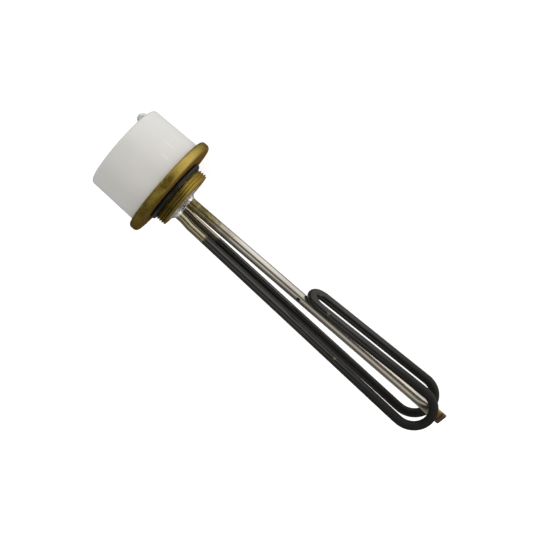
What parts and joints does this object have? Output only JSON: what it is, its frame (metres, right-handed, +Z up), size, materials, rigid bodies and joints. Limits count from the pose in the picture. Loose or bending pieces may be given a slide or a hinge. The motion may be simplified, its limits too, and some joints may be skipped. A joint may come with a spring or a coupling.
{
  "type": "screw plug immersion heater",
  "caption": "Immersion heater with a flanged brass screw plug, a folded tubular element, a long sensor pocket with a flattened tip, and a moulded cover over the wiring space.",
  "frame": {"origin": "on the plug axis, at the middle of the parallel thread", "axes": "+X along the plug axis, from the cover towards the tip of the pocket; +Z up, square to the two flat hairpins; +Y from the legs of the hairpins to their return tubes"},
  "size_m": [0.3575, 0.0924, 0.0924],
  "materials": {
    "brass": "aged turned brass, dark olive tarnish with brighter yellow patches",
    "seal_rubber": "black moulded rubber, slight sheen",
    "solder": "bright soft solder, smooth and uneven",
    "sheath": "satin black oxide, bare metal at the plug",
    "powder": "packed white mineral powder",
    "coil_wire": "oxidised resistance wire",
    "plated_steel": "zinc plated, satin",
    "bead": "off-white moulded bead",
    "terminal_brass": "clean machined brass",
    "pocket": "drawn bright metal with heat tint at both ends",
    "housing": "dark brown moulded resin",
    "copper_strip": "rolled spring strip",
    "dial": "red moulded plastic",
    "button": "white moulded plastic",
    "lead": "brown heat-resisting insulation with a crimped ring tag",
    "cover": "off-white moulded plastic, satin",
    "grommet": "black soft rubber"
  },
  "bodies": {
    "head": {"brass_head": "brass", "sealing_ring": "seal_rubber", "solder_seal": "solder", "element_sheath": "sheath", "element_insulation": "powder", "resistance_coil": "coil_wire", "cold_pins": "plated_steel", "end_seals": "bead", "terminal_washers": "terminal_brass", "terminal_nuts": "terminal_brass", "sensor_pocket": "pocket", "control_stem": "terminal_brass", "control_rod": "plated_steel", "control_body": "housing", "control_lid": "housing", "switch_arm": "copper_strip", "fixed_contact": "terminal_brass", "reset_spring": "plated_steel", "terminal_blocks": "terminal_brass", "block_screws": "terminal_brass", "link_lead": "lead", "earth_washer": "terminal_brass", "earth_screw": "terminal_brass", "cover_stud": "plated_steel"},
    "cover_set": {"cover": "cover", "cable_grommet": "grommet", "cover_washer": "plated_steel", "cover_nut": "plated_steel"},
    "dial": {"setting_dial": "dial"},
    "button": {"reset_button": "button"}
  },
  "joints": [
    {"name": "cover_lift", "type": "slide", "parent": "head", "child": "cover_set", "axis": [-1, 0, 0], "range_m": [0, 0.06]},
    {"name": "dial_turn", "type": "hinge", "parent": "head", "child": "dial", "pos_m": [-0.0489, 0.008, 0.0105], "axis": [-1, 0, 0], "range_deg": [-135, 135]},
    {"name": "reset_press", "type": "slide", "parent": "head", "child": "button", "axis": [1, 0, 0], "range_m": [0, 0.002], "stiffness_N_per_m": 400, "springref_m": -0.0005, "deforming": ["reset_spring"]}
  ]
}
